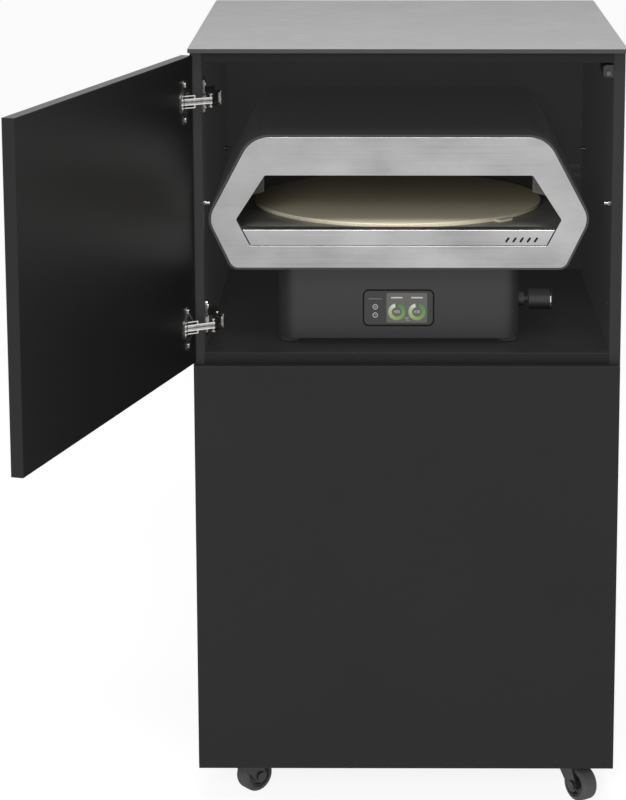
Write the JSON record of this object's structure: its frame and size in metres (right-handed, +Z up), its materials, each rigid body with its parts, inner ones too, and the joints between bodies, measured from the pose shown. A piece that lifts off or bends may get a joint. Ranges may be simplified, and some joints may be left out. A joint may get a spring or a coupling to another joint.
{
  "type": "outdoor kitchen module",
  "caption": "Tall outdoor kitchen cabinet on swivel casters with a worktop, hinged handleless doors and a gas pizza oven in its upper bay.",
  "frame": {"origin": "on the floor under the centre of the worktop", "axes": "+X to the right seen from the doors, +Y to the back, +Z up"},
  "size_m": [0.7736, 1.1748, 1.105],
  "materials": {
    "worktop": "fine matt compact laminate, mid grey",
    "carcass_board": "matt anthracite laminate on board",
    "door_board": "matt anthracite laminate on board",
    "nickel": "nickel plated steel",
    "latch_plastic": "grey moulded plastic",
    "plunger_plastic": "pale moulded plastic",
    "caster_steel": "black coated steel",
    "hub_plastic": "black moulded plastic",
    "tread_rubber": "grey soft tread",
    "oven_stainless": "fine brushed stainless steel",
    "oven_coat": "anthracite powder coat",
    "oven_inner_steel": "heat-tinted steel",
    "baking_stone": "rough ceramic stone",
    "foot_rubber": "black rubber",
    "display_window": "dark smooth window",
    "display_screen": "lit grey screen",
    "knob_plastic": "soft black plastic",
    "bright_chrome": "polished chrome",
    "inlet_brass": "turned brass"
  },
  "bodies": {
    "cabinet": {"worktop": "worktop", "side_panel_left": "carcass_board", "side_panel_right": "carcass_board", "top_panel": "carcass_board", "oven_shelf": "carcass_board", "bottom_panel": "carcass_board", "back_panel": "carcass_board", "shelf_pins": "nickel", "hinge_arms": "nickel", "hinge_knuckle_pins": "nickel", "hinge_plates": "nickel", "hinge_screws": "nickel", "latch_housings": "latch_plastic", "caster_plates": "caster_steel", "caster_screws": "caster_steel", "oven_hood": "oven_coat", "oven_bezel": "oven_stainless", "oven_sill": "oven_stainless", "oven_floor": "oven_inner_steel", "oven_stone": "baking_stone", "oven_baffles": "oven_inner_steel", "oven_burner": "oven_inner_steel", "oven_base": "oven_coat", "oven_feet": "foot_rubber", "oven_display": "display_window", "oven_screen": "display_screen", "oven_knob_shaft": "oven_coat", "oven_gas_inlet": "inlet_brass"},
    "upper_door": {"upper_door": "door_board", "upper_hinge_cups": "nickel", "upper_cup_pins": "nickel", "upper_cup_screws": "nickel"},
    "upper_front_links": {"upper_front_links": "nickel"},
    "upper_rear_links": {"upper_rear_links": "nickel"},
    "upper_latch_plunger": {"upper_latch_plunger": "plunger_plastic"},
    "lower_door": {"lower_door": "door_board", "lower_hinge_cups": "nickel", "lower_cup_pins": "nickel", "lower_cup_screws": "nickel"},
    "lower_front_links": {"lower_front_links": "nickel"},
    "lower_rear_links": {"lower_rear_links": "nickel"},
    "lower_latch_plunger": {"lower_latch_plunger": "plunger_plastic"},
    "front_left_caster": {"front_left_fork": "caster_steel", "front_left_axle": "caster_steel"},
    "front_left_wheel": {"front_left_hub": "hub_plastic", "front_left_tyre": "tread_rubber"},
    "front_right_caster": {"front_right_fork": "caster_steel", "front_right_axle": "caster_steel"},
    "front_right_wheel": {"front_right_hub": "hub_plastic", "front_right_tyre": "tread_rubber"},
    "rear_left_caster": {"rear_left_fork": "caster_steel", "rear_left_axle": "caster_steel"},
    "rear_left_wheel": {"rear_left_hub": "hub_plastic", "rear_left_tyre": "tread_rubber"},
    "rear_right_caster": {"rear_right_fork": "caster_steel", "rear_right_axle": "caster_steel"},
    "rear_right_wheel": {"rear_right_hub": "hub_plastic", "rear_right_tyre": "tread_rubber"},
    "oven_knob": {"oven_knob": "knob_plastic", "oven_knob_ring": "bright_chrome"}
  },
  "joints": [
    {"name": "upper_door_swing", "type": "hinge", "parent": "cabinet", "child": "upper_door", "pos_m": [-0.2973, -0.2929, 0.87825], "axis": [0, 0, -1], "range_deg": [-106, 4]},
    {"name": "upper_front_link_swing", "type": "hinge", "parent": "cabinet", "child": "upper_front_links", "pos_m": [-0.25959, -0.27024, 0.87825], "axis": [0, 0, -1], "range_deg": [-107, 5]},
    {"name": "upper_rear_link_swing", "type": "hinge", "parent": "upper_door", "child": "upper_rear_links", "pos_m": [-0.30729, -0.32156, 0.87825], "axis": [0, 0, -1], "range_deg": [-5, 107]},
    {"name": "lower_door_swing", "type": "hinge", "parent": "cabinet", "child": "lower_door", "pos_m": [-0.2973, -0.2929, 0.363], "axis": [0, 0, -1], "range_deg": [0, 110]},
    {"name": "lower_front_link_swing", "type": "hinge", "parent": "cabinet", "child": "lower_front_links", "pos_m": [-0.25959, -0.27024, 0.363], "axis": [0, 0, -1], "range_deg": [-1, 111]},
    {"name": "lower_rear_link_swing", "type": "hinge", "parent": "lower_door", "child": "lower_rear_links", "pos_m": [-0.267, -0.2946, 0.363], "axis": [0, 0, -1], "range_deg": [-111, 1]},
    {"name": "upper_latch_push", "type": "slide", "parent": "cabinet", "child": "upper_latch_plunger", "axis": [0, 1, 0], "range_m": [0, 0.004], "stiffness_N_per_m": 250},
    {"name": "lower_latch_push", "type": "slide", "parent": "cabinet", "child": "lower_latch_plunger", "axis": [0, 1, 0], "range_m": [0, 0.004], "stiffness_N_per_m": 250},
    {"name": "front_left_swivel", "type": "hinge", "parent": "cabinet", "child": "front_left_caster", "pos_m": [-0.2405, -0.239, 0.055], "axis": [0, 0, 1], "continuous": true},
    {"name": "front_left_roll", "type": "hinge", "parent": "front_left_caster", "child": "front_left_wheel", "pos_m": [-0.22212, -0.22357, 0.025], "axis": [-0.6428, 0.766, 0], "continuous": true},
    {"name": "front_right_swivel", "type": "hinge", "parent": "cabinet", "child": "front_right_caster", "pos_m": [0.2405, -0.239, 0.055], "axis": [0, 0, 1], "continuous": true},
    {"name": "front_right_roll", "type": "hinge", "parent": "front_right_caster", "child": "front_right_wheel", "pos_m": [0.25427, -0.25866, 0.025], "axis": [0.8192, 0.5736, 0], "continuous": true},
    {"name": "rear_left_swivel", "type": "hinge", "parent": "cabinet", "child": "rear_left_caster", "pos_m": [-0.2405, 0.238, 0.055], "axis": [0, 0, 1], "continuous": true},
    {"name": "rear_left_roll", "type": "hinge", "parent": "rear_left_caster", "child": "rear_left_wheel", "pos_m": [-0.25177, 0.25919, 0.025], "axis": [-0.8829, -0.4695, 0], "continuous": true},
    {"name": "rear_right_swivel", "type": "hinge", "parent": "cabinet", "child": "rear_right_caster", "pos_m": [0.2405, 0.238, 0.055], "axis": [0, 0, 1], "continuous": true},
    {"name": "rear_right_roll", "type": "hinge", "parent": "rear_right_caster", "child": "rear_right_wheel", "pos_m": [0.25213, 0.25899, 0.025], "axis": [-0.8746, 0.4848, 0], "continuous": true},
    {"name": "oven_knob_turn", "type": "hinge", "parent": "cabinet", "child": "oven_knob", "pos_m": [0.1914, -0.175, 0.7277], "axis": [1, 0, 0], "range_deg": [0, 130]}
  ],
  "couplings": [
    {"joint": "upper_front_link_swing", "follows": "upper_door_swing", "ratio": 1},
    {"joint": "upper_rear_link_swing", "follows": "upper_door_swing", "ratio": -1},
    {"joint": "lower_front_link_swing", "follows": "lower_door_swing", "ratio": 1},
    {"joint": "lower_rear_link_swing", "follows": "lower_door_swing", "ratio": -1}
  ]
}
